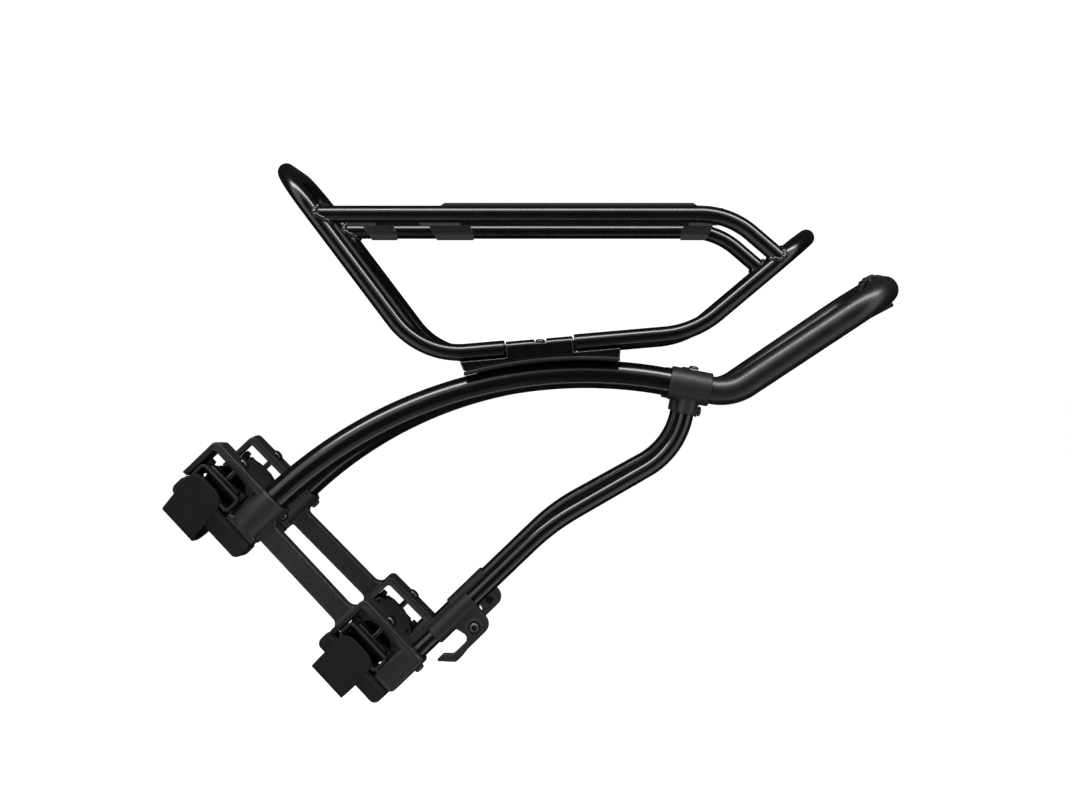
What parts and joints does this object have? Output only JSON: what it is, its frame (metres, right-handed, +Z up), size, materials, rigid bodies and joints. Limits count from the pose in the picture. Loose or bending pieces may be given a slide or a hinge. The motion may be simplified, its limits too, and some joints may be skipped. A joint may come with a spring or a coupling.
{
  "type": "bicycle rear rack",
  "caption": "Tubular rear rack that straps to the seatstays, with a bag platform that slides along arched tubes to come level, a rear handle and screw-tightened strap clamps.",
  "frame": {"origin": "on the plane of symmetry, midway between the upper and lower clamps, on the line of the seatstays", "axes": "+X to the back of the bicycle, +Y to its right side, +Z up"},
  "size_m": [0.4754, 0.1798, 0.3459],
  "materials": {
    "gloss_black_tube": "gloss",
    "satin_black_tube": "satin",
    "satin_black_casting": "satin",
    "matt_black_plastic": "fine texture",
    "black_rubber": "matt",
    "blackened_steel": "black oxide"
  },
  "bodies": {
    "frame": {"rear_handle_tube": "satin_black_tube", "left_main_tube": "gloss_black_tube", "left_lower_stay": "gloss_black_tube", "left_rear_collar": "satin_black_casting", "left_collar_bolt": "blackened_steel", "left_collar_stay_bolt": "blackened_steel", "left_stay_bracket": "satin_black_casting", "left_upper_cradle_pad": "black_rubber", "left_lower_cradle_pad": "black_rubber", "left_upper_socket_bolt": "blackened_steel", "left_lower_socket_bolt": "blackened_steel", "right_main_tube": "gloss_black_tube", "right_lower_stay": "gloss_black_tube", "right_rear_collar": "satin_black_casting", "right_collar_bolt": "blackened_steel", "right_collar_stay_bolt": "blackened_steel", "right_stay_bracket": "satin_black_casting", "right_upper_cradle_pad": "black_rubber", "right_lower_cradle_pad": "black_rubber", "right_upper_socket_bolt": "blackened_steel", "right_lower_socket_bolt": "blackened_steel"},
    "platform": {"front_hoop_tube": "gloss_black_tube", "rear_hoop_tube": "gloss_black_tube", "deck_plate": "matt_black_plastic", "bag_track": "matt_black_plastic", "left_deck_rail": "gloss_black_tube", "left_front_deck_clip": "satin_black_casting", "left_middle_deck_clip": "satin_black_casting", "left_rear_deck_clip": "satin_black_casting", "left_joiner_block": "satin_black_casting", "left_joiner_bolt": "blackened_steel", "left_joiner_liner": "matt_black_plastic", "right_deck_rail": "gloss_black_tube", "right_front_deck_clip": "satin_black_casting", "right_middle_deck_clip": "satin_black_casting", "right_rear_deck_clip": "satin_black_casting", "right_joiner_block": "satin_black_casting", "right_joiner_bolt": "blackened_steel", "right_joiner_liner": "matt_black_plastic"},
    "light_mount": {"light_bracket": "matt_black_plastic", "light_bracket_screw": "blackened_steel"},
    "left_upper_clamp": {"left_upper_carriage": "matt_black_plastic", "left_upper_strap": "black_rubber"},
    "left_upper_screw": {"left_upper_tension_screw": "blackened_steel"},
    "left_lower_clamp": {"left_lower_carriage": "matt_black_plastic", "left_lower_strap": "black_rubber"},
    "left_lower_screw": {"left_lower_tension_screw": "blackened_steel"},
    "left_hook": {"left_stay_hook": "matt_black_plastic", "left_hook_bolt": "blackened_steel"},
    "right_upper_clamp": {"right_upper_carriage": "matt_black_plastic", "right_upper_strap": "black_rubber"},
    "right_upper_screw": {"right_upper_tension_screw": "blackened_steel"},
    "right_lower_clamp": {"right_lower_carriage": "matt_black_plastic", "right_lower_strap": "black_rubber"},
    "right_lower_screw": {"right_lower_tension_screw": "blackened_steel"},
    "right_hook": {"right_stay_hook": "matt_black_plastic", "right_hook_bolt": "blackened_steel"}
  },
  "joints": [
    {"name": "platform_level", "type": "hinge", "parent": "frame", "child": "platform", "pos_m": [0.209, 0, -0.144], "axis": [0, 1, 0], "range_deg": [-5, 4.5]},
    {"name": "light_tilt", "type": "hinge", "parent": "frame", "child": "light_mount", "pos_m": [0.40326, 0, 0.19817], "axis": [0, 1, 0], "range_deg": [-30, 90]},
    {"name": "left_upper_clamp_slide", "type": "slide", "parent": "frame", "child": "left_upper_clamp", "axis": [0.7218, 0, 0.6921], "range_m": [0, 0.005]},
    {"name": "left_upper_screw_spin", "type": "hinge", "parent": "frame", "child": "left_upper_screw", "pos_m": [-0.00971, -0.04979, 0.08597], "axis": [0.7218, 0, 0.6921], "range_deg": [0, 2572.4]},
    {"name": "left_lower_clamp_slide", "type": "slide", "parent": "frame", "child": "left_lower_clamp", "axis": [0.7218, 0, 0.6921], "range_m": [0, 0.005]},
    {"name": "left_lower_screw_spin", "type": "hinge", "parent": "frame", "child": "left_lower_screw", "pos_m": [0.08549, -0.05821, -0.0133], "axis": [0.7218, 0, 0.6921], "range_deg": [0, 2572.4]},
    {"name": "left_hook_slide", "type": "slide", "parent": "frame", "child": "left_hook", "axis": [0.7218, 0, 0.6921], "range_m": [-0.012, 0.045]},
    {"name": "right_upper_clamp_slide", "type": "slide", "parent": "frame", "child": "right_upper_clamp", "axis": [0.7218, 0, 0.6921], "range_m": [0, 0.005]},
    {"name": "right_upper_screw_spin", "type": "hinge", "parent": "frame", "child": "right_upper_screw", "pos_m": [-0.00971, 0.04979, 0.08597], "axis": [0.7218, 0, 0.6921], "range_deg": [0, 2572.4]},
    {"name": "right_lower_clamp_slide", "type": "slide", "parent": "frame", "child": "right_lower_clamp", "axis": [0.7218, 0, 0.6921], "range_m": [0, 0.005]},
    {"name": "right_lower_screw_spin", "type": "hinge", "parent": "frame", "child": "right_lower_screw", "pos_m": [0.08549, 0.05821, -0.0133], "axis": [0.7218, 0, 0.6921], "range_deg": [0, 2572.4]},
    {"name": "right_hook_slide", "type": "slide", "parent": "frame", "child": "right_hook", "axis": [0.7218, 0, 0.6921], "range_m": [-0.012, 0.045]}
  ],
  "couplings": [
    {"joint": "left_upper_screw_spin", "follows": "left_upper_clamp_slide", "rad_per_m": 8976},
    {"joint": "left_lower_screw_spin", "follows": "left_lower_clamp_slide", "rad_per_m": 8976},
    {"joint": "right_upper_screw_spin", "follows": "right_upper_clamp_slide", "rad_per_m": 8976},
    {"joint": "right_lower_screw_spin", "follows": "right_lower_clamp_slide", "rad_per_m": 8976}
  ]
}
